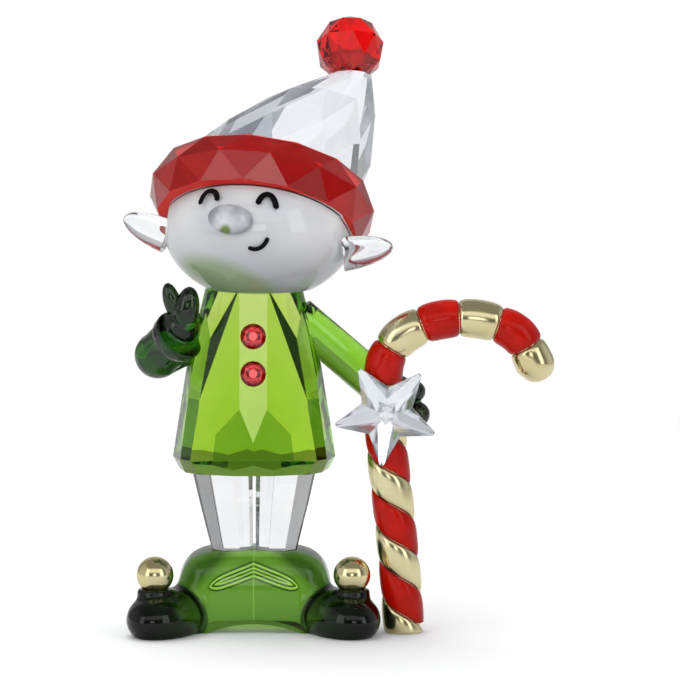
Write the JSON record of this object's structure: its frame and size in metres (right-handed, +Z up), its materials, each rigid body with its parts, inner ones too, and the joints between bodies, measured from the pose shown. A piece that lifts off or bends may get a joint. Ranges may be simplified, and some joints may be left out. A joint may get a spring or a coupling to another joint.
{
  "type": "elf figurine",
  "caption": "Small cut-glass elf with a pompon hat, pointed ears, green coat and shoes, holding a twisted candy cane with a clear star",
  "frame": {"origin": "on the ground plane, between the shoes, below the middle of the body", "axes": "+X to the viewer's right, towards the candy cane; +Y to the elf's back; +Z up"},
  "size_m": [0.0539, 0.0283, 0.0763],
  "materials": {
    "clear_crystal": "polished clear lead glass",
    "green_crystal": "polished green glass",
    "red_crystal": "polished red glass",
    "gold_plate": "polished pale gold plating on cast brass",
    "red_enamel": "glossy red enamel",
    "black_enamel": "black printed enamel line"
  },
  "bodies": {
    "root": {"shoes": "green_crystal", "bell_right": "gold_plate", "bell_left": "gold_plate", "leg_right": "clear_crystal", "leg_left": "clear_crystal", "coat": "green_crystal", "button_upper": "red_crystal", "button_lower": "red_crystal", "arm_right": "green_crystal", "arm_left": "green_crystal", "head": "clear_crystal", "nose": "clear_crystal", "ear_right": "clear_crystal", "ear_left": "clear_crystal", "eye_line_right": "black_enamel", "eye_line_left": "black_enamel", "mouth_line": "black_enamel", "hat_brim": "red_crystal", "hat_cone": "clear_crystal", "hat_pompon": "red_crystal", "candy_cane": "gold_plate", "enamel_spiral": "red_enamel", "enamel_band_1": "red_enamel", "enamel_band_2": "red_enamel", "enamel_band_3": "red_enamel", "star": "clear_crystal"}
  },
  "joints": []
}
